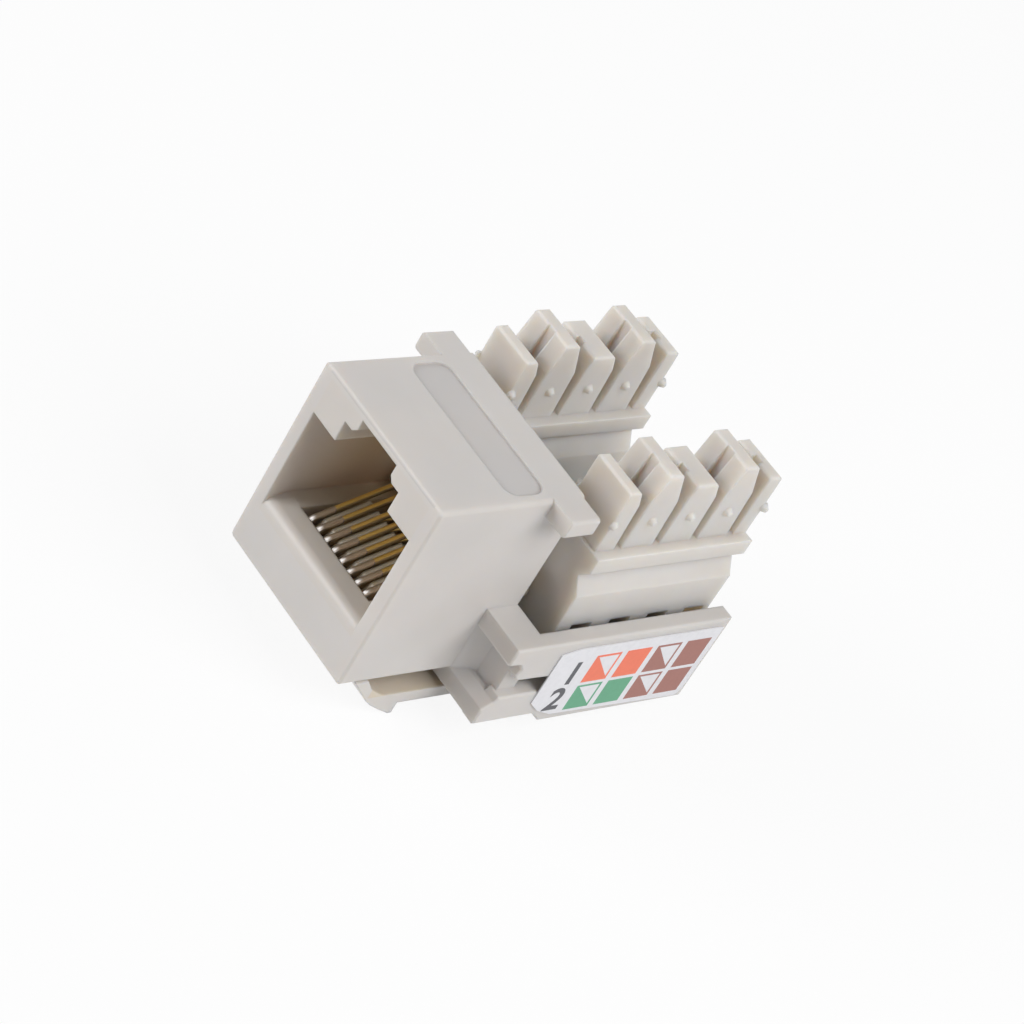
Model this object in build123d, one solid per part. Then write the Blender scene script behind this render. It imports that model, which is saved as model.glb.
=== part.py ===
from build123d import *
from math import cos, radians, sin, tan
import os

# Snap-in eight-way modular jack with two rows of insulation-piercing wire terminals.
# Sizes are millimetres. Depths run back from the front face, heights up from the underside of the body.
# The finished pieces are lowered by half the body's height, so the origin is the middle of the front face.

# Body sleeve
body_width = 14.5
body_height = 16.2
body_depth = 13.05
side_wall = 1.2
floor_wall = 1.0
front_wall = 1.9
corner_round = 0.4
front_chamfer = 0.15
cut_margin = 1.0

# Plug opening with its two-step latch channel, and the slot in its floor for the contact comb
sill_height = 4.6
sill_round = 0.9
plug_floor = 5.05
comb_slot_width = 8.9
top_wall = 0.65
wide_notch_width = 6.7
wide_notch_height = 1.7
narrow_notch_width = 4.2
narrow_notch_height = 1.25
notch_chamfer = 0.4

# Stops that meet the back of a panel, and the finger recess in front of the lip
stop_depth = 10.15
lip_width = 18.8
lip_height = 1.45
lip_depth = 2.65
lip_round = 0.25
recess_width = 12.9
recess_depth = 3.6
recess_sink = 0.2
recess_round = 1.2
flange_thickness = 1.25
flange_depth = 1.35
flange_lip_height = 0.1
flange_slope_height = 0.7
flange_slope_depth = 0.85

# Side frames that carry the colour labels
frame_outer = 11.3
frame_thickness = 1.25
frame_top = 5.95
frame_bottom = -2.2
frame_edge_round = 0.12
frame_end_margin = 0.5
arm_thickness = 1.5
arm_overlap = 0.5
strip_thickness = 3.35
strip_nose_depth = 1.15
strip_nose_height = 1.6
strip_step_depth = 1.55
strip_step_height = 2.1
strip_notch_depth = 1.35
strip_notch_height = 2.75
strip_start_depth = 1.7
strip_start_height = 3.2
rail_top = 1.15
rail_bottom = -1.3
rail_nose_depth = 1.1
window_setback = 3.4
foot_setback = 3.95
foot_slope = 1.1
web_depth = 1.35
web_slant = 1.1
web_overlap = 0.15
ledge_width = 0.8
ledge_thickness = 0.8
ledge_end_margin = 1.0

# Snap latch under the body
latch_root_depth = 2.27
latch_root_half_width = 0.59
latch_root_gap = 0.05
latch_hook_depth = 6.97
latch_hook_bottom = -3.83
latch_arm_top = -1.82
latch_arm_bottom = -2.83
latch_tail_end = 13.3
latch_leg_outer = [(3.78, -2.19), (4.41, -2.66), (5.47, -3.26), (6.62, latch_hook_bottom)]
latch_leg_inner = [(5.29, latch_arm_top), (4.7, -1.62), (3.64, -0.97)]

# Circuit board
board_top = 1.3
board_thickness = 1.6
board_side_gap = 0.3
board_body_gap = 0.4
pin_tail = 0.8
pin_hole_gap = 0.1
hole_sides = 12

# Contact wires
contact_count = 8
contact_pitch = 1.016
contact_radius = 0.24
contact_sides = 12
contact_slope = 22.0
contact_front_gap = 0.07
contact_bend_top = 4.95
contact_bend_radius = 0.62
contact_tip_setback = 1.15
contact_row_setback = 0.4
contact_row_spacing = 1.0
contact_corner_radius = 0.7

# Comb that holds the wires
comb_gap = 0.1
comb_slot_gap = 0.06
comb_block_gap = 0.12
comb_front_height = 4.25
comb_ramp_setback = 0.5
comb_ramp_drop = 0.16
comb_ramp_end = 6.6
comb_pit_floor = 2.4
comb_wall_front_setback = 1.6
comb_wall_top = 8.9
comb_wall_back_setback = 0.6
comb_hood_depth = 0.4
comb_hood_drop = 1.5
comb_hood_end_drop = 3.2
comb_foot_gap = 0.3

# Terminal blocks
block_setback = 2.0
block_frame_gap = 0.65
block_foot_half_width = 2.95
block_foot_top = 8.45
block_neck_half_width = 2.1
block_neck_height = 9.8
shelf_half_width = 2.85
shelf_bottom = 10.62
shelf_top = 11.9
terminal_pitch = 3.81
terminals_per_block = 4
first_slot_setback = 2.45
wire_slot_width = 0.75

# Towers between the wire slots
tower_half_width = 2.0
tower_sink = 0.1
tower_tall_height = 6.75
tower_low_height = 5.45
tower_taper_height = 4.2
tower_first_setback = 0.3
tower_last_length = 1.295
tower_back_draft = 0.28
tower_front_slope = 0.2
tower_back_slope = 0.42
tower_end_slope = 0.05
tower_round = 0.2
boss_radius = 0.42
boss_height = 0.36
boss_sides = 10
boss_taper = 28.0
boss_sink = 0.05
boss_setback = 0.4
boss_rise = 2.5

# Cuts for the piercing blades and below them
blade_window_width = 2.0
blade_window_height = 4.2
blade_groove_width = 0.85

# Piercing blades
blade_thickness = 0.4
blade_width = 1.8
blade_height = 13.7
blade_shoulder_gap = 0.1
blade_fork_depth = 3.4
blade_fork_gap = 0.3
blade_lead_in = 0.35
blade_lead_depth = 0.8
blade_corner = 0.3
blade_clearance = 0.06
blade_pin_width = 0.6

# Base cover and labels
cover_thickness = 0.9
cover_setback = 1.85
cover_gap = 0.1
cover_end_gap = 0.05
cover_rim_height = 2.4
label_thickness = 0.1
label_front_setback = 1.85
label_top_margin = 0.75
label_end_margin = 0.45
label_low_margin = 0.3
label_nose_bottom = 0.05
label_nose_slope = 1.65
label_nose_rise = 0.35
label_chin_depth = 1.15
label_chin_height = -0.9
label_heel_depth = 2.7
label_heel_height = -1.5
label_round = 0.7

half_body = body_width / 2
half_opening = half_body - side_wall
half_comb_slot = comb_slot_width / 2
narrow_notch_top = body_height - top_wall
wide_notch_top = narrow_notch_top - narrow_notch_height
opening_top = wide_notch_top - wide_notch_height
frame_inner = frame_outer - frame_thickness
board_bottom = board_top - board_thickness
board_front = body_depth + board_body_gap
block_front = board_front + block_setback
first_slot = block_front + first_slot_setback
last_slot = first_slot + (terminals_per_block - 1) * terminal_pitch
block_end = last_slot + wire_slot_width / 2 + tower_last_length
block_offset = frame_inner - block_frame_gap - block_foot_half_width
frame_end = block_end + frame_end_margin
contact_row_depth = board_front + contact_row_setback
contact_low = contact_bend_top - 2 * contact_bend_radius
contact_bend_front = front_wall + contact_front_gap + contact_radius
comb_end = block_front - comb_block_gap


def along_x(outline, x_low, x_high):
    """Extrudes a closed depth-height outline from one width to another."""
    return extrude(Plane.YZ.offset(x_low) * make_face(Polyline(*outline, close=True)), amount=x_high - x_low)


def along_y(outline, y_low, y_high):
    """Extrudes a closed width-height outline from one depth to another."""
    return extrude(Plane.XZ.offset(-y_low) * make_face(Polyline(*outline, close=True)), amount=y_low - y_high)


def along_z(outline, z_low, z_high):
    """Extrudes a closed width-depth outline from one height to another."""
    return extrude(Plane.XY.offset(z_low) * make_face(Polyline(*outline, close=True)), amount=z_high - z_low)


def cuboid(x_low, x_high, y_low, y_high, z_low, z_high):
    """A straight block between two opposite corners."""
    centre = Pos((x_low + x_high) / 2, (y_low + y_high) / 2, (z_low + z_high) / 2)
    return centre * Box(x_high - x_low, y_high - y_low, z_high - z_low)


def mirrored(outline):
    """Adds the mirror image of a half outline, given from bottom to top on the +X side."""
    return outline + [(-x, z) for x, z in reversed(outline)]


def body_sleeve():
    """Outer sleeve with rounded corners, before anything is cut."""
    profile = Pos(0, body_height / 2) * RectangleRounded(body_width, body_height, corner_round)
    sleeve = extrude(Plane.XZ * profile, amount=-body_depth)
    return chamfer(sleeve.faces().sort_by(Axis.Y)[0].edges(), front_chamfer)


def plug_opening():
    """Space for the plug, the stepped channel above it, and the slot for the comb in its floor."""
    outline = mirrored([
        (half_opening, plug_floor),
        (half_opening, opening_top),
        (wide_notch_width / 2, opening_top),
        (wide_notch_width / 2, wide_notch_top),
        (narrow_notch_width / 2 + notch_chamfer, wide_notch_top),
        (narrow_notch_width / 2, wide_notch_top + notch_chamfer),
        (narrow_notch_width / 2, narrow_notch_top),
    ])
    channel = along_y(outline, -cut_margin, body_depth + cut_margin)
    mouth = cuboid(-half_opening, half_opening, -cut_margin, front_wall, sill_height - sill_round, opening_top)
    comb_slot = cuboid(-half_comb_slot, half_comb_slot, front_wall, body_depth + cut_margin, floor_wall, opening_top)
    return channel + mouth + comb_slot


def sill():
    """Rounded sill across the lower edge of the opening, rising to the floor behind it."""
    bottom = sill_height - sill_round
    profile = make_face(Polyline((0, bottom), (0, sill_height), (front_wall, plug_floor), (front_wall, bottom),
                                 close=True))
    profile = fillet(profile.vertices().sort_by_distance((0, sill_height, 0))[0], sill_round)
    return extrude(Plane.YZ.offset(-half_opening) * profile, amount=2 * half_opening)


def panel_stops():
    """Upper lip flush with the top, and the lower flange with its sloping top."""
    lip = cuboid(-lip_width / 2, lip_width / 2, stop_depth, stop_depth + lip_depth,
                 body_height - lip_height, body_height)
    lip = fillet(lip.edges().filter_by(Axis.Y), lip_round)
    flange = along_x([
        (stop_depth, -flange_thickness), (stop_depth, flange_lip_height),
        (stop_depth + flange_slope_depth, flange_slope_height), (stop_depth + flange_depth, flange_slope_height),
        (stop_depth + flange_depth, -flange_thickness),
    ], -frame_outer + frame_edge_round, frame_outer - frame_edge_round)
    return lip + flange


def side_frame():
    """Right-hand frame: arm, web, and the panel with its window between strip and rail."""
    strip_bottom = frame_top - strip_thickness
    window_end = body_depth + window_setback
    foot_start = body_depth + foot_setback
    outline = [
        (stop_depth, rail_bottom),
        (stop_depth, flange_lip_height),
        (stop_depth + flange_slope_depth, flange_slope_height),
        (stop_depth + rail_nose_depth, rail_top),
        (window_end, rail_top),
        (window_end, strip_bottom),
        (stop_depth + strip_start_depth, frame_top - strip_start_height),
        (stop_depth + strip_notch_depth, frame_top - strip_notch_height),
        (stop_depth + strip_step_depth, frame_top - strip_step_height),
        (stop_depth + strip_nose_depth, frame_top - strip_nose_height),
        (stop_depth, frame_top - arm_thickness),
        (stop_depth, frame_top),
        (frame_end, frame_top),
        (frame_end, frame_bottom),
        (foot_start, frame_bottom),
        (foot_start - foot_slope, rail_bottom),
    ]
    panel = along_x(outline, frame_inner, frame_outer)
    panel = chamfer(panel.faces().sort_by(Axis.X)[-1].edges(), frame_edge_round)
    wall_middle = half_body - side_wall / 2
    web_front = stop_depth + web_depth
    web_end = body_depth + web_overlap
    arm = cuboid(wall_middle, frame_inner + arm_overlap, stop_depth, body_depth, frame_top - arm_thickness, frame_top)
    web = along_z([(wall_middle, stop_depth), (half_body, stop_depth), (half_body + web_slant, web_front),
                   (frame_inner + arm_overlap, web_front), (frame_inner + arm_overlap, web_end),
                   (wall_middle, web_end)], rail_bottom + arm_overlap, frame_top - arm_thickness)
    ledge = cuboid(frame_inner - ledge_width, frame_inner, web_end, frame_end - ledge_end_margin,
                   board_bottom - ledge_thickness, board_bottom)
    return panel + arm + web + ledge


def housing():
    """The moulded shell: sleeve, stops, sill and both side frames."""
    frame = side_frame()
    shell = body_sleeve() + panel_stops() + frame + mirror(frame, Plane.YZ)
    shell -= plug_opening()
    recess = Pos(0, stop_depth - recess_depth / 2, body_height - recess_sink) * extrude(
        RectangleRounded(recess_width, recess_depth, recess_round), amount=cut_margin)
    shell -= recess
    return shell + sill()


def latch_arm():
    """Sprung arm: sloping leg from its root under the body, hook and tail."""
    outline = [
        (latch_root_depth - latch_root_half_width, -latch_root_gap),
        *latch_leg_outer,
        (latch_hook_depth, latch_hook_bottom),
        (latch_hook_depth, latch_arm_bottom),
        (latch_tail_end, latch_arm_bottom),
        (latch_tail_end, latch_arm_top),
        *latch_leg_inner,
        (latch_root_depth + latch_root_half_width, -latch_root_gap),
    ]
    return along_x(outline, -half_body, half_body)


def contact_xs():
    """Widths of the eight contacts, left to right."""
    return [(index - (contact_count - 1) / 2) * contact_pitch for index in range(contact_count)]


def contact_row(index):
    """Depth of one contact's tail, in two staggered rows."""
    return contact_row_depth + contact_row_spacing * (index % 2)


def bend_end():
    """Depth and height where the bend runs into the slope."""
    turn = radians(contact_slope)
    return (contact_bend_front + contact_bend_radius * (1 - sin(turn)),
            contact_low + contact_bend_radius * (1 + cos(turn)))


def slope_height(depth):
    """Height of the wires' centre line on the slope."""
    start_y, start_z = bend_end()
    return start_z + (depth - start_y) * tan(radians(contact_slope))


def contact(index, x):
    """One sprung wire: up from the board, forward, round the bend and back along the slope."""
    row = contact_row(index)
    tip_depth = body_depth - contact_tip_setback
    foot = (row, board_bottom - pin_tail)
    shoulder = (row, contact_low - contact_corner_radius)
    knee = (row - contact_corner_radius, contact_low)
    bend_start = (contact_bend_front + contact_bend_radius, contact_low)
    with BuildLine(Plane.YZ) as path:
        Line(foot, shoulder)
        TangentArc(shoulder, knee, tangent=(0, 1))
        Line(knee, bend_start)
        TangentArc(bend_start, bend_end(), tangent=(-1, 0))
        Line(bend_end(), (tip_depth, slope_height(tip_depth)))
    line = path.line
    wire = sweep(Plane(line @ 0, z_dir=line % 0) * RegularPolygon(contact_radius, contact_sides), path=line)
    return Pos(x, 0, 0) * wire


def contact_insert():
    """Comb for the wires: ribs under the slope, and a slotted wall across the back of the sleeve."""
    front = contact_bend_front + comb_ramp_setback
    bottom = floor_wall + comb_gap
    wall_front = body_depth - comb_wall_front_setback
    hood = [
        (wall_front, comb_wall_top), (body_depth - comb_wall_back_setback, comb_wall_top),
        (body_depth + comb_hood_depth, comb_wall_top - comb_hood_drop),
        (comb_end, comb_wall_top - comb_hood_end_drop),
    ]
    foot_end = board_front - comb_foot_gap
    base = along_x([
        (front, bottom), (front, comb_pit_floor), (wall_front, comb_pit_floor), *hood,
        (comb_end, board_top), (foot_end, board_top), (foot_end, bottom),
    ], comb_gap - half_comb_slot, half_comb_slot - comb_gap)
    ribs = along_x([
        (front, comb_pit_floor - comb_gap), (front, comb_front_height),
        (front + comb_ramp_setback, slope_height(front + comb_ramp_setback) - comb_ramp_drop),
        (comb_ramp_end, slope_height(comb_ramp_end) - comb_ramp_drop), (comb_ramp_end, comb_pit_floor - comb_gap),
    ], contact_xs()[0], contact_xs()[-1])
    wall = along_x([(wall_front, plug_floor + comb_gap), *hood, (comb_end, plug_floor + comb_gap)],
                   comb_gap - half_opening, half_opening - comb_gap)
    comb = base + ribs + wall
    slot_half = contact_radius + comb_slot_gap
    slot_floor = contact_low - slot_half
    for index, x in enumerate(contact_xs()):
        slot_back = contact_row(index) + slot_half
        comb -= cuboid(x - slot_half, x + slot_half, front - cut_margin, slot_back, slot_floor,
                       comb_wall_top + cut_margin)
        comb -= cuboid(x - slot_half, x + slot_half, contact_row(index) - slot_half, slot_back,
                       board_top - cut_margin, slot_floor + comb_slot_gap)
    return comb


def slot_depths():
    """Depths of the wire slots, front to back."""
    return [first_slot + index * terminal_pitch for index in range(terminals_per_block)]


def tower_spans():
    """Front, back, top, draft and slopes of each tower between the wire slots."""
    half_slot = wire_slot_width / 2
    depths = slot_depths()
    fronts = [block_front + tower_first_setback] + [depth + half_slot for depth in depths]
    backs = [depth - half_slot for depth in depths] + [block_end]
    heights = [tower_tall_height if index % 2 else tower_low_height for index in range(len(fronts))]
    tops = [shelf_top + height for height in heights]
    drafts = [tower_back_draft] * len(depths) + [0]
    front_slopes = [0] + [tower_front_slope] * (len(depths) - 1) + [tower_end_slope]
    back_slopes = [tower_back_slope] * len(depths) + [tower_end_slope]
    return list(zip(fronts, backs, tops, drafts, front_slopes, back_slopes))


def tower(front, back, top, draft, front_slope, back_slope):
    """One wedge-topped tower."""
    taper_start = shelf_top + tower_taper_height
    rise = top - taper_start
    post = along_x([
        (front, shelf_top - tower_sink), (front, taper_start), (front + front_slope * rise, top),
        (back - draft - back_slope * rise, top), (back - draft, taper_start), (back, shelf_top - tower_sink),
    ], -tower_half_width, tower_half_width)
    return fillet(post.faces().sort_by(Axis.Z)[-1].edges(), tower_round)


def boss(depth):
    """Small domed boss on the outer end of a tower."""
    start = Plane.YZ.offset(tower_half_width - boss_sink)
    return extrude(start * Pos(depth, shelf_top + boss_rise) * RegularPolygon(boss_radius, boss_sides),
                   amount=boss_height + boss_sink, taper=boss_taper)


def terminal_block():
    """One terminal moulding: windowed foot, waist, shelf and five towers."""
    block = along_y(mirrored([
        (block_foot_half_width, board_top), (block_foot_half_width, block_foot_top),
        (block_neck_half_width, block_neck_height), (shelf_half_width, shelf_bottom), (shelf_half_width, shelf_top),
    ]), block_front, block_end)
    for index, span in enumerate(tower_spans()):
        knob = boss(block_front + boss_setback + index * terminal_pitch)
        block += tower(*span) + knob + mirror(knob, Plane.YZ)
    groove_half = blade_width / 2 + blade_clearance
    for depth in slot_depths():
        block -= cuboid(-block_foot_half_width - cut_margin, block_foot_half_width + cut_margin,
                        depth - blade_window_width / 2, depth + blade_window_width / 2,
                        board_top - cut_margin, board_top + blade_window_height)
        block -= cuboid(-blade_groove_width / 2, blade_groove_width / 2, depth - groove_half, depth + groove_half,
                        board_top - cut_margin, shelf_top + tower_tall_height + cut_margin)
    return block


def blade():
    """One piercing blade: fork above, shoulders and a pin through the board below."""
    half = blade_width / 2
    gap = blade_fork_gap / 2
    pin = blade_pin_width / 2
    shoulder = board_top + blade_shoulder_gap
    top = board_top + blade_height
    outline = mirrored([
        (pin, board_bottom - pin_tail), (pin, shoulder), (half, shoulder), (half, top - blade_corner),
        (half - blade_corner, top), (gap + blade_lead_in, top), (gap, top - blade_lead_depth),
        (gap, top - blade_fork_depth),
    ])
    return along_x(outline, -blade_thickness / 2, blade_thickness / 2)


def circuit_board():
    """Board with a hole for each contact tail and each blade pin."""
    half = frame_inner - board_side_gap
    board = cuboid(-half, half, board_front, block_end, board_bottom, board_top)
    holes = [(x, contact_row(index), contact_radius) for index, x in enumerate(contact_xs())]
    holes += [(side * block_offset, depth, blade_pin_width / 2) for side in (-1, 1) for depth in slot_depths()]
    for x, depth, pin in holes:
        hole = RegularPolygon(pin + pin_hole_gap, hole_sides)
        board -= Pos(x, depth, board_bottom - cut_margin) * extrude(hole, amount=board_thickness + 2 * cut_margin)
    return board


def base_cover():
    """Tray that closes the underside below the board."""
    half = frame_inner - cover_gap
    end = frame_end - cover_end_gap
    cover = cuboid(-half, half, body_depth + cover_setback, end, frame_bottom, frame_bottom + cover_thickness)
    rim_half = half - ledge_width - cover_gap
    rim = cuboid(-rim_half, rim_half, block_end + cover_gap, end, frame_bottom, frame_bottom + cover_rim_height)
    return cover + rim


def label():
    """Right-hand colour label, stuck to the side frame."""
    front = body_depth + label_front_setback
    back = frame_end - label_end_margin
    high = frame_top - label_top_margin
    profile = make_face(Polyline(
        (front, label_nose_bottom), (front, high - label_nose_rise), (front + label_nose_slope, high), (back, high),
        (back, frame_bottom + label_low_margin), (front + label_heel_depth, label_heel_height),
        (front + label_chin_depth, label_chin_height), close=True))
    rear_corner = profile.vertices().sort_by_distance((back, frame_bottom + label_low_margin, 0))[0]
    profile = fillet(rear_corner, label_round)
    return extrude(Plane.YZ.offset(frame_outer) * profile, amount=label_thickness)


def all_pieces():
    """Every piece by name, in its place."""
    pieces = {
        "housing": housing(),
        "latch_arm": latch_arm(),
        "contact_insert": contact_insert(),
        "circuit_board": circuit_board(),
        "base_cover": base_cover(),
        "idc_block_left": Pos(-block_offset, 0, 0) * terminal_block(),
        "idc_block_right": Pos(block_offset, 0, 0) * terminal_block(),
        "label_left": mirror(label(), Plane.YZ),
        "label_right": label(),
    }
    for index, x in enumerate(contact_xs()):
        pieces[f"contact_{index + 1}"] = contact(index, x)
    number = 0
    for side in (-1, 1):
        for depth in slot_depths():
            number += 1
            pieces[f"idc_blade_{number}"] = Pos(side * block_offset, depth, 0) * blade()
    return pieces


os.makedirs("parts", exist_ok=True)
for name, piece in all_pieces().items():
    export_step(Pos(0, 0, -body_height / 2) * piece, f"parts/{name}.step")
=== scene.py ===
import math

import bmesh
import bpy
from mathutils import Matrix, Vector


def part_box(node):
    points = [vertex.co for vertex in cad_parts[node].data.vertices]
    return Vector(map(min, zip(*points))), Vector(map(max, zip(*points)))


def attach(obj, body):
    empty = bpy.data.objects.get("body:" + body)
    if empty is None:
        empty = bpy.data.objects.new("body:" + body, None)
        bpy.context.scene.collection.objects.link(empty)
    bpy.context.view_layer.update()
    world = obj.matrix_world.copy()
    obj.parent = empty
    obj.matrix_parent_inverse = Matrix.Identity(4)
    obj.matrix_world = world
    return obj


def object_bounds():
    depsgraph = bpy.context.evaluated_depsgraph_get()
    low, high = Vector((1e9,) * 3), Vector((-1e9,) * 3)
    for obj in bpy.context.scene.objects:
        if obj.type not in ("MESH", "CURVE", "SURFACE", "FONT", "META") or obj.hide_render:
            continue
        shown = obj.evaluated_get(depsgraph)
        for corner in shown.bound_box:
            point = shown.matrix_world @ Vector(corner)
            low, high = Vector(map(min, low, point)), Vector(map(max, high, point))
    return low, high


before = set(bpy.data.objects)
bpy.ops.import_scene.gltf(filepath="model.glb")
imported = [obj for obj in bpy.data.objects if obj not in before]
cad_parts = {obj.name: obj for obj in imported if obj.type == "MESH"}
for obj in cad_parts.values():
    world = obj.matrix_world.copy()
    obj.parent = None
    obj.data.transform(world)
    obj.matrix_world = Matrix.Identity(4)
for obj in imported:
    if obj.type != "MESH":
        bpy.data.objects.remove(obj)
cad_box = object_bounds()


# Housing: one off-white moulding with the plug sleeve, the panel stops and the two side frames.
# It has a fine satin skin, slightly uneven in gloss. The finger recess floor is a little darker, and
# the inside of the sleeve is painted browner as shade; both tones are chosen to meet the photograph.
# The darker finger recess and the browner inside of the sleeve are tones chosen to meet the
# photograph, where they may be only shade.
mm = 0.001
off_white = (0.605, 0.577, 0.555)
off_white_deep = (0.58, 0.553, 0.53)
satin_roughness = 0.42
wall_glow = 0.4
wall_glow_depth = 2.0 * mm
glow_reach = (1.0, 0.75, 0.5)
skin_noises = (("Tone", 160.0, 3.0), ("Gloss", 420.0, 2.0), ("Height", 5200.0, 2.0))
skin_tone_limits = (0.3, 0.7)
skin_gloss_wander = 0.06
skin_strength = 0.03
skin_depth = 0.02 * mm
edge_softness = 0.2 * mm
edge_samples = 6
recess_half_width = 6.45 * mm
recess_floor = (7.8 * mm, 8.0 * mm)
recess_tone = (0.89, 0.89, 0.90)
# Painted shade: the inside of the sleeve turns browner towards the back.
sleeve_half_width = 6.1 * mm
sleeve_heights = (-4.5 * mm, 7.5 * mm)
sleeve_shade_fade = (-1.0 * mm, 8.0 * mm)
sleeve_shade_tone = (1.0, 0.86, 0.65)
# A Mix node keeps its two colours and their mix at these places among its sockets.
mix_first = 6
mix_second = 7
mix_result = 2


def plain_material(name, colour, roughness, metallic=0.0):
    """A Principled material with one plain colour, ready for masks and bumps."""
    material = bpy.data.materials.new(name)
    material.use_nodes = True
    shader = material.node_tree.nodes["Principled BSDF"]
    shader.inputs["Base Color"].default_value = (*colour, 1.0)
    shader.inputs["Roughness"].default_value = roughness
    shader.inputs["Metallic"].default_value = metallic
    return material, shader


def coordinates(tree):
    """Object coordinates of the piece, in metres."""
    return tree.nodes.new("ShaderNodeTexCoord").outputs["Object"]


def axes_of(tree, vector):
    """The X, Y and Z of a vector."""
    split = tree.nodes.new("ShaderNodeSeparateXYZ")
    tree.links.new(vector, split.inputs["Vector"])
    return split.outputs


def calculate(tree, operation, *values):
    """One sum in a shader tree, from numbers or other sums."""
    node = tree.nodes.new("ShaderNodeMath")
    node.operation = operation
    for socket, value in zip(node.inputs, values):
        if isinstance(value, (int, float)):
            socket.default_value = value
        else:
            tree.links.new(value, socket)
    return node.outputs["Value"]


def product(tree, *values):
    """The product of values, which for masks is one where every mask is one."""
    result = values[0]
    for value in values[1:]:
        result = calculate(tree, "MULTIPLY", result, value)
    return result


def in_range(tree, value, low, high):
    """One where a value lies between two limits, else zero."""
    above = calculate(tree, "GREATER_THAN", value, low)
    below = calculate(tree, "LESS_THAN", value, high)
    return product(tree, above, below)


def rescale(tree, value, old_ends, new_ends=(0.0, 1.0)):
    """Stretches one range of a value onto another, and holds it between the new ends."""
    node = tree.nodes.new("ShaderNodeMapRange")
    for name, end in zip(("From Min", "From Max", "To Min", "To Max"), (*old_ends, *new_ends)):
        node.inputs[name].default_value = end
    tree.links.new(value, node.inputs["Value"])
    return node.outputs["Result"]


def noise(tree, vector, scale, detail):
    """Soft random pattern from 0 to 1, with its scale in lumps per metre."""
    node = tree.nodes.new("ShaderNodeTexNoise")
    node.inputs["Scale"].default_value = scale
    node.inputs["Detail"].default_value = detail
    tree.links.new(vector, node.inputs["Vector"])
    return node.outputs["Fac"]


def mix_colours(tree, share, first, second, blend="MIX"):
    """Mixes two colours, plain or linked, by a share from 0 to 1."""
    mix = tree.nodes.new("ShaderNodeMix")
    mix.data_type = "RGBA"
    mix.blend_type = blend
    tree.links.new(share, mix.inputs["Factor"])
    for place, colour in ((mix_first, first), (mix_second, second)):
        if isinstance(colour, tuple):
            mix.inputs[place].default_value = (*colour, 1.0)
        else:
            tree.links.new(colour, mix.inputs[place])
    return mix.outputs[mix_result]


def colour_ramp(tree, value, stops):
    """Colours along a value, from two or more places between 0 and 1 with their colours."""
    node = tree.nodes.new("ShaderNodeValToRGB")
    steps = node.color_ramp.elements
    for end, (place, colour) in enumerate((stops[0], stops[-1])):
        steps[end].position = place
        steps[end].color = (*colour, 1.0)
    for place, colour in stops[1:-1]:
        steps.new(place).color = (*colour, 1.0)
    tree.links.new(value, node.inputs["Fac"])
    return node.outputs["Color"]


def raise_bump(tree, shader, height, strength, depth):
    """Lays a fine relief on a surface, from a height that changes over it."""
    bump = tree.nodes.new("ShaderNodeBump")
    bump.inputs["Strength"].default_value = strength
    bump.inputs["Distance"].default_value = depth
    tree.links.new(height, bump.inputs["Height"])
    tree.links.new(bump.outputs["Normal"], shader.inputs["Normal"])
    return bump


def wander_gloss(tree, shader, pattern, roughness, wander):
    """Lets a surface's roughness wander a little to both sides of its middle."""
    gloss = rescale(tree, pattern, (0.0, 1.0), (roughness - wander, roughness + wander))
    tree.links.new(gloss, shader.inputs["Roughness"])


def open_group(name, outputs):
    """Empty node group from a position to named numbers; gives the group and its two ends."""
    group = bpy.data.node_groups.new(name, "ShaderNodeTree")
    group.interface.new_socket("Vector", in_out="INPUT", socket_type="NodeSocketVector")
    for output in outputs:
        group.interface.new_socket(output, in_out="OUTPUT", socket_type="NodeSocketFloat")
    start = group.nodes.new("NodeGroupInput")
    end = group.nodes.new("NodeGroupOutput")
    return group, start.outputs["Vector"], end


def noise_group(name, noises):
    """Node group of several noises, each given by its output's name, its scale and its detail."""
    group, position, end = open_group(name, [output for output, scale, detail in noises])
    for output, scale, detail in noises:
        group.links.new(noise(group, position, scale, detail), end.inputs[output])
    return group


def place_group(tree, group, position):
    """Puts a node group into a material."""
    node = tree.nodes.new("ShaderNodeGroup")
    node.node_tree = group
    tree.links.new(position, node.inputs["Vector"])
    return node.outputs


moulded_skin = noise_group("moulded_skin", skin_noises)


def moulded_plastic(name, light, deep, roughness, glow=wall_glow, glow_depth=wall_glow_depth):
    """Satin plastic that wanders between two tones and lets a little light into its walls."""
    material, shader = plain_material(name, light, roughness)
    shader.inputs["Subsurface Weight"].default_value = glow
    shader.inputs["Subsurface Radius"].default_value = glow_reach
    shader.inputs["Subsurface Scale"].default_value = glow_depth
    tree = material.node_tree
    skin = place_group(tree, moulded_skin, coordinates(tree))
    tones = colour_ramp(tree, skin["Tone"], list(zip(skin_tone_limits, (deep, light))))
    tree.links.new(tones, shader.inputs["Base Color"])
    wander_gloss(tree, shader, skin["Gloss"], roughness, skin_gloss_wander)
    grain = raise_bump(tree, shader, skin["Height"], skin_strength, skin_depth)
    soft_edge = tree.nodes.new("ShaderNodeBevel")
    soft_edge.samples = edge_samples
    soft_edge.inputs["Radius"].default_value = edge_softness
    tree.links.new(soft_edge.outputs["Normal"], grain.inputs["Normal"])
    return material


def tint_where(material, mask, tone):
    """Multiplies a material's colour by a tone where the mask is one."""
    tree = material.node_tree
    base = tree.nodes["Principled BSDF"].inputs["Base Color"]
    colour = base.links[0].from_socket
    tree.links.new(mix_colours(tree, mask, colour, tone, "MULTIPLY"), base)


def finish_node(name, material):
    """Gives one CAD node its finish."""
    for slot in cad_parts[name].material_slots:
        slot.material = material


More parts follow.
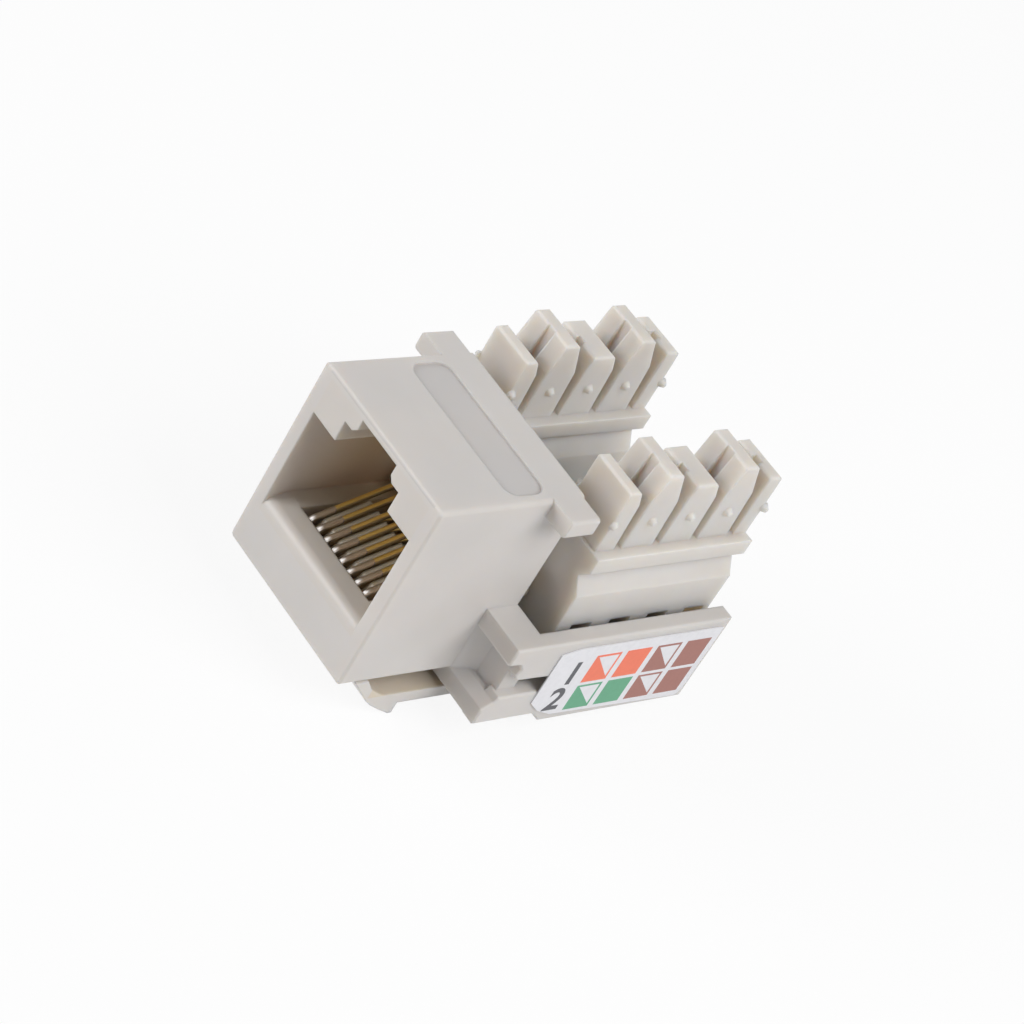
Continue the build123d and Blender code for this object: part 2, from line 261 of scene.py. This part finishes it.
def housing_finish():
    """Off-white plastic with a darker recess floor and painted shade, browner towards the back of the sleeve.
    """
    material = moulded_plastic("housing_plastic", off_white, off_white_deep, satin_roughness)
    tree = material.node_tree
    axes = axes_of(tree, coordinates(tree))
    from_middle = calculate(tree, "ABSOLUTE", axes["X"])
    in_recess = product(tree, calculate(tree, "LESS_THAN", from_middle, recess_half_width),
                        in_range(tree, axes["Z"], *recess_floor))
    tint_where(material, in_recess, recess_tone)
    # Painted shade inside the sleeve, growing towards the back.
    shade_in_sleeve = product(tree, calculate(tree, "LESS_THAN", from_middle, sleeve_half_width),
                        in_range(tree, axes["Z"], *sleeve_heights), rescale(tree, axes["Y"], sleeve_shade_fade))
    tint_where(material, shade_in_sleeve, sleeve_shade_tone)
    return material


finish_node("housing", housing_finish())


# Latch arm: the sprung tongue under the sleeve, of the same plastic as the housing.
# It is moulded in one with it and bends at its root. Its inner side, under the sleeve, is painted
# a little yellower as shade, a tone chosen to meet the photograph.
# Painted shade: the warm tone on the latch's inner side, which lies under the sleeve.
inner_side_heights = (-9.94 * mm, -9.0 * mm)
inner_side_depths = (3.7 * mm, 14.0 * mm)
inner_side_shade_tone = (1.0, 0.93, 0.80)


def latch_finish():
    """Off-white plastic, with yellower painted shade on the side that faces the sleeve."""
    material = moulded_plastic("latch_plastic", off_white, off_white_deep, satin_roughness)
    tree = material.node_tree
    axes = axes_of(tree, coordinates(tree))
    # Painted shade on the inner side of the arm.
    shaded_inner_side = product(tree, in_range(tree, axes["Z"], *inner_side_heights),
                         in_range(tree, axes["Y"], *inner_side_depths))
    tint_where(material, shaded_inner_side, inner_side_shade_tone)
    return material


finish_node("latch_arm", latch_finish())


# Contact insert: grey-brown comb that keeps the eight wires apart inside the sleeve.
# It is moulded on its own and slides in from the back.
insert_brown = (0.49, 0.40, 0.29)
insert_brown_deep = (0.45, 0.365, 0.265)
insert_roughness = 0.45
insert_glow = 0.7
insert_plastic = moulded_plastic("insert_plastic", insert_brown, insert_brown_deep, insert_roughness,
                                 glow=insert_glow)
finish_node("contact_insert", insert_plastic)


# Contact wires: eight round spring wires, bright at the front bend and gold plated along the slope
# that the plug touches. Behind the bend they are painted duller and browner as shade, and beside a golden
# stripe along the middle of each gold stretch their sides are painted as shade. Where each stretch starts,
# and the golden stripe along the middle of each wire, are chosen to meet the photograph.
wire_count = 8
wire_pitch = 1.016 * mm
wire_roughness = 0.3
wire_stretch = (1.0, 0.08, 1.0)
bend_end = 2.25 * mm
shaded_stretch_start = bend_end + 0.4 * mm
gold_start = 3.95 * mm
gold_full = gold_start + 0.1 * mm
wire_reach = 10.0 * mm
stripe_fade = (0.12 * mm, 0.18 * mm)
bright_metal = (0.90, 0.87, 0.84)
# Painted shade: the duller, browner metal behind the bend.
shaded_wire_metal = (0.62, 0.54, 0.45)
plug_gold = (0.98, 0.74, 0.26)
# Painted shade on the sides of each gold stretch, beside its golden middle stripe.
stripe_side_shade = (0.45, 0.50, 0.95)
drawn_noises = (("Gloss", 600.0, 2.0), ("Height", 4000.0, 2.0))
drawn_gloss_wander = 0.08
drawn_strength = 0.1
drawn_depth = 0.01 * mm

drawn_lines = noise_group("drawn_metal", drawn_noises)


def drawn_metal(name, colour, roughness, stretch):
    """Plated metal with the fine lines that drawing or rolling leaves along one direction."""
    material, shader = plain_material(name, colour, roughness, metallic=1.0)
    tree = material.node_tree
    squeeze = tree.nodes.new("ShaderNodeMapping")
    squeeze.inputs["Scale"].default_value = stretch
    tree.links.new(coordinates(tree), squeeze.inputs["Vector"])
    lines = place_group(tree, drawn_lines, squeeze.outputs["Vector"])
    wander_gloss(tree, shader, lines["Gloss"], roughness, drawn_gloss_wander)
    raise_bump(tree, shader, lines["Height"], drawn_strength, drawn_depth)
    return material, shader


def contact_metal():
    """Plated wire: bright at the bend, painted shade behind it, then gold where the plug touches, with
    painted shade beside a golden middle stripe.
    """
    material, shader = drawn_metal("contact_gold", plug_gold, wire_roughness, wire_stretch)
    tree = material.node_tree
    axes = axes_of(tree, coordinates(tree))
    # The stretch behind the bend is painted shade.
    stretches = ((bend_end, bright_metal), (shaded_stretch_start, shaded_wire_metal), (gold_start, shaded_wire_metal),
                 (gold_full, plug_gold))
    stops = [(place / wire_reach, colour) for place, colour in stretches]
    along = rescale(tree, axes["Y"], (0.0, wire_reach))
    tree.links.new(colour_ramp(tree, along, stops), shader.inputs["Base Color"])
    # Painted shade: the wires' sides are darkened away from the middle of each gold stretch.
    step = calculate(tree, "FRACT", calculate(tree, "DIVIDE", axes["X"], wire_pitch))
    from_crest = calculate(tree, "ABSOLUTE", calculate(tree, "SUBTRACT", step, 0.5))
    shaded_off_stripe = rescale(tree, from_crest, [distance / wire_pitch for distance in stripe_fade])
    in_gold = calculate(tree, "GREATER_THAN", axes["Y"], gold_start)
    tint_where(material, product(tree, shaded_off_stripe, in_gold), stripe_side_shade)
    return material


contact_gold = contact_metal()
for number in range(1, wire_count + 1):
    finish_node(f"contact_{number}", contact_gold)


# Circuit board: glass fibre board between the wires and the terminals, held by the side frames' ledges.
# Copper tracks show through its green coat as lighter stripes, and its cut edges are bare tan fibre.
# The photograph shows little of it, so the stripes are a guess.
track_pitch = wire_pitch
track_limits = (0.3, 0.7)
track_strength = 0.5
track_height = 0.03 * mm
coat_thickness = 0.05 * mm
coat_roughness = 0.3
coat_green = (0.015, 0.13, 0.065)
coat_over_copper = (0.03, 0.24, 0.12)
bare_fibre = (0.42, 0.36, 0.20)


def board_coat():
    """Green coat over copper tracks, with bare fibre at the cut edges."""
    material, shader = plain_material("board_coat", coat_green, coat_roughness)
    tree = material.node_tree
    axes = axes_of(tree, coordinates(tree))
    step = calculate(tree, "FRACT", calculate(tree, "DIVIDE", axes["X"], track_pitch))
    track = in_range(tree, step, *track_limits)
    coat = mix_colours(tree, track, coat_green, coat_over_copper)
    low, high = (corner.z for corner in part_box("circuit_board"))
    between_faces = in_range(tree, axes["Z"], low + coat_thickness, high - coat_thickness)
    surface = mix_colours(tree, between_faces, coat, bare_fibre)
    tree.links.new(surface, shader.inputs["Base Color"])
    raise_bump(tree, shader, track, track_strength, track_height)
    return material


finish_node("circuit_board", board_coat())


# Base cover: plain tray that closes the underside below the board.
# It is moulded in the housing's plastic. The photograph does not show it.
shell_plastic = moulded_plastic("shell_plastic", off_white, off_white_deep, satin_roughness)
finish_node("base_cover", shell_plastic)


# Terminal blocks: two off-white mouldings, a little warmer than the housing.
# Each has a necked foot, a shelf and five towers with a slot for one wire between each two.
block_white = (0.64, 0.61, 0.58)
block_white_deep = (0.59, 0.56, 0.53)
block_roughness = 0.45
block_glow = 0.85
block_glow_depth = 3.0 * mm
block_plastic = moulded_plastic("block_plastic", block_white, block_white_deep, block_roughness,
                                glow=block_glow, glow_depth=block_glow_depth)
for side in ("left", "right"):
    finish_node(f"idc_block_{side}", block_plastic)


# Piercing blades: forked strips of tin-plated bronze that stand in the towers' grooves.
# They are stamped from rolled strip, and their fine lines run up and down.
tin_white = (0.62, 0.62, 0.60)
tin_roughness = 0.32
tin_stretch = (1.0, 1.0, 0.1)
blade_tin = drawn_metal("blade_tin", tin_white, tin_roughness, tin_stretch)[0]
for number in range(1, wire_count + 1):
    finish_node(f"idc_blade_{number}", blade_tin)


# Labels: coated paper with two rows of wire colours, one on each side frame.
# Striped wires have a field cut across its diagonal, with the upper half left white.
# The left label is not in the photograph, and its colours are a guess.
label_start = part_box("label_right")[0].y
label_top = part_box("label_right")[1].z
first_field = label_start + 3.85 * mm
field_count = 4
field_pitch = 3.07 * mm
field_width = 2.5 * mm
top_row_low = label_top - 3.7 * mm
top_row_height = 2.75 * mm
bottom_row_low = label_top - 6.5 * mm
bottom_row_height = 2.5 * mm
row_border = (top_row_low + bottom_row_low + bottom_row_height) / 2
cut_diagonal = 1.04
cut_margin = 0.92
paper_white = (0.75, 0.745, 0.775)
paper_roughness = 0.32
print_orange = (0.85, 0.16, 0.07)
print_green = (0.085, 0.35, 0.19)
print_brown = (0.335, 0.12, 0.09)
print_blue = (0.06, 0.20, 0.50)
paper_lumps = 2500.0
paper_detail = 3.0
speckle_limits = (0.4, 0.7)
speckle_share = 0.5
speckle_tone = (0.90, 0.90, 0.90)
fibre_strength = 0.05
fibre_depth = 0.02 * mm


def share_of(tree, value, low, length):
    """How far a value has come from a low end, as a share of a length."""
    return calculate(tree, "DIVIDE", calculate(tree, "SUBTRACT", value, low), length)


def opposite(tree, mask):
    """One where the mask is zero."""
    return calculate(tree, "SUBTRACT", 1.0, mask)


def colour_fields_group():
    """Masks of the label's fields: which field, whether it is printed, and which row."""
    group, position, end = open_group("colour_fields", ("Field", "Printed", "Top Row"))
    axes = axes_of(group, position)
    steps = share_of(group, axes["Y"], first_field, field_pitch)
    field = calculate(group, "FLOOR", steps)
    into_step = calculate(group, "SUBTRACT", steps, field)
    across = calculate(group, "MULTIPLY", into_step, field_pitch / field_width)
    top = calculate(group, "GREATER_THAN", axes["Z"], row_border)
    up_top = share_of(group, axes["Z"], top_row_low, top_row_height)
    up_bottom = share_of(group, axes["Z"], bottom_row_low, bottom_row_height)
    up = calculate(group, "ADD", product(group, up_top, top), product(group, up_bottom, opposite(group, top)))
    inside = product(group, calculate(group, "LESS_THAN", across, 1.0), in_range(group, up, 0.0, 1.0),
                     in_range(group, field, -0.5, field_count - 0.5))
    past_diagonal = calculate(group, "GREATER_THAN", calculate(group, "ADD", across, up), cut_diagonal)
    striped_wire = calculate(group, "LESS_THAN", calculate(group, "MODULO", field, 2.0), 0.5)
    white = product(group, past_diagonal, striped_wire, calculate(group, "LESS_THAN", across, cut_margin),
                    calculate(group, "LESS_THAN", up, cut_margin))
    printed = product(group, inside, opposite(group, white))
    for name, value in (("Field", field), ("Printed", printed), ("Top Row", top)):
        group.links.new(value, end.inputs[name])
    return group


colour_fields = colour_fields_group()


def label_paper(name, top_front, top_back, bottom_front, bottom_back):
    """Coated label: in each row, two fields of one colour in front and two of another behind."""
    material, shader = plain_material(name, paper_white, paper_roughness)
    tree = material.node_tree
    fields = place_group(tree, colour_fields, coordinates(tree))
    back_pair = calculate(tree, "GREATER_THAN", fields["Field"], field_count / 2 - 0.5)
    top_ink = mix_colours(tree, back_pair, top_front, top_back)
    bottom_ink = mix_colours(tree, back_pair, bottom_front, bottom_back)
    ink = mix_colours(tree, fields["Top Row"], bottom_ink, top_ink)
    face = mix_colours(tree, fields["Printed"], paper_white, ink)
    tree.links.new(face, shader.inputs["Base Color"])
    grain = noise(tree, coordinates(tree), paper_lumps, paper_detail)
    tint_where(material, rescale(tree, grain, speckle_limits, (0.0, speckle_share)), speckle_tone)
    raise_bump(tree, shader, grain, fibre_strength, fibre_depth)
    return material


right_paper = label_paper("label_paper_right", print_orange, print_brown, print_green, print_brown)
left_paper = label_paper("label_paper_left", print_blue, print_green, print_blue, print_orange)
finish_node("label_right", right_paper)
finish_node("label_left", left_paper)


# Row numbers: plain digits printed in dark ink in front of the two rows of each label.
# They stand in for the letters of the real one, and the ink lies on the paper as a thin film.
ink_colour = (0.08, 0.08, 0.09)
ink_roughness = 0.45
ink_thickness = 0.01 * mm
stroke_swell = 0.07 * mm
digit_size = 3.1 * mm
row_digits = (("1", label_start + 2.45 * mm, top_row_low + 0.15 * mm),
              ("2", label_start + 2.3 * mm, bottom_row_low + 0.35 * mm))
dark_ink = plain_material("dark_ink", ink_colour, ink_roughness)[0]


def row_number(side, outwards, digit, along, low):
    """One digit, made as text and then turned to stand on the outer face of a label."""
    outline = bpy.data.curves.new(f"row_number_{digit}_{side}", "FONT")
    outline.body = digit
    outline.size = digit_size
    outline.extrude = ink_thickness
    outline.offset = stroke_swell
    outline.align_x = "CENTER"
    text = bpy.data.objects.new(f"outline_{digit}_{side}", outline)
    bpy.context.scene.collection.objects.link(text)
    bpy.context.view_layer.update()
    mesh = bpy.data.meshes.new_from_object(text.evaluated_get(bpy.context.evaluated_depsgraph_get()))
    bpy.data.objects.remove(text)
    face = max(abs(corner.x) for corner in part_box(f"label_{side}"))
    turn = Matrix(((0, 0, outwards), (outwards, 0, 0), (0, 1, 0))).to_4x4()
    mesh.transform(Matrix.Translation((outwards * face, along, low)) @ turn)
    mesh.materials.clear()
    mesh.materials.append(dark_ink)
    return bpy.data.objects.new(f"row_number_{digit}_{side}", mesh)


for side, outwards in (("right", 1), ("left", -1)):
    for digit, along, low in row_digits:
        number = row_number(side, outwards, digit, along, low)
        bpy.context.scene.collection.objects.link(number)
        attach(number, "jack")


# Floor: plain pale sheet under the part. It is not a piece of the object.
# The camera and reflections see it nearly white, and it keeps the part's soft shadow.
floor_half_width = 2.0
floor_tone = (0.85, 0.85, 0.85)
floor_roughness = 0.9
floor_white_share = 0.9


def seen_by(tree, *rays):
    """One for rays of the named kinds, else zero."""
    path = tree.nodes.new("ShaderNodeLightPath")
    seen = path.outputs[rays[0]]
    for ray in rays[1:]:
        seen = calculate(tree, "MAXIMUM", seen, path.outputs[ray])
    return seen


floor_mesh = bpy.data.meshes.new("floor")
floor_shape = bmesh.new()
bmesh.ops.create_grid(floor_shape, x_segments=1, y_segments=1, size=floor_half_width)
bmesh.ops.translate(floor_shape, verts=floor_shape.verts, vec=(0, 0, cad_box[0][2]))
floor_shape.to_mesh(floor_mesh)
floor_shape.free()
floor = bpy.data.objects.new("floor", floor_mesh)
bpy.context.scene.collection.objects.link(floor)
floor_paint, floor_shader = plain_material("floor_paint", floor_tone, floor_roughness)
tree = floor_paint.node_tree
white = tree.nodes.new("ShaderNodeEmission")
white.inputs["Strength"].default_value = 1.0
share = calculate(tree, "MULTIPLY", seen_by(tree, "Is Camera Ray", "Is Glossy Ray"), floor_white_share)
blend = tree.nodes.new("ShaderNodeMixShader")
tree.links.new(share, blend.inputs[0])
tree.links.new(floor_shader.outputs[0], blend.inputs[1])
tree.links.new(white.outputs[0], blend.inputs[2])
tree.links.new(blend.outputs[0], tree.nodes["Material Output"].inputs["Surface"])
floor_mesh.materials.append(floor_paint)


# Studio light: an even pale surround, a soft lamp in front on the left
# and a larger one high on the right, behind the part.
surround_tone = (0.97, 0.985, 1.0)
surround_level = 0.25
lamp_aim = (0.0, 0.015, 0.0)
left_lamp_place = (-0.32, -0.47, 0.22)
left_lamp_size = 0.30
left_lamp_watts = 2.25
right_lamp_place = (0.42, 0.12, 0.44)
right_lamp_size = 0.45
right_lamp_watts = 3.05

world = bpy.data.worlds.new("studio")
bpy.context.scene.world = world
world.use_nodes = True
tree = world.node_tree
surround = tree.nodes["Background"]
surround.inputs["Color"].default_value = (*surround_tone, 1.0)
seen = seen_by(tree, "Is Camera Ray", "Is Glossy Ray", "Is Transmission Ray")
tree.links.new(rescale(tree, seen, (0.0, 1.0), (surround_level, 1.0)), surround.inputs["Strength"])


def looking(place, aim):
    """The turn that points a lamp or a camera from one place to another, kept upright."""
    return (Vector(aim) - Vector(place)).to_track_quat("-Z", "Y")


def soft_lamp(name, place, size, watts):
    """A square area lamp that points at the middle of the part."""
    lamp = bpy.data.lights.new(name, "AREA")
    lamp.size = size
    lamp.energy = watts
    holder = bpy.data.objects.new(name, lamp)
    holder.location = place
    holder.rotation_euler = looking(place, lamp_aim).to_euler()
    bpy.context.scene.collection.objects.link(holder)


soft_lamp("left_lamp", left_lamp_place, left_lamp_size, left_lamp_watts)
soft_lamp("right_lamp", right_lamp_place, right_lamp_size, right_lamp_watts)


# Camera: the photograph's place, angle and tilt.
# They were found from where the part's own corners lie in the photograph.
photo_lens = 113.33
photo_sensor = 36.0
photo_place = (0.106500, -0.138821, 0.122660)
photo_aim = (0.000764, 0.016009, 0.0)
photo_tilt = math.radians(32.093)
nearest_seen = 0.01
camera_data = bpy.data.cameras.new("photo_camera")
camera_data.sensor_width = photo_sensor
camera_data.lens = photo_lens
camera_data.clip_start = nearest_seen
camera = bpy.data.objects.new("photo_camera", camera_data)
turn = looking(photo_place, photo_aim).to_matrix().to_4x4() @ Matrix.Rotation(photo_tilt, 4, "Z")
camera.matrix_world = Matrix.Translation(photo_place) @ turn
bpy.context.scene.collection.objects.link(camera)
bpy.context.scene.camera = camera

bpy.context.scene.view_settings.view_transform = "Standard"
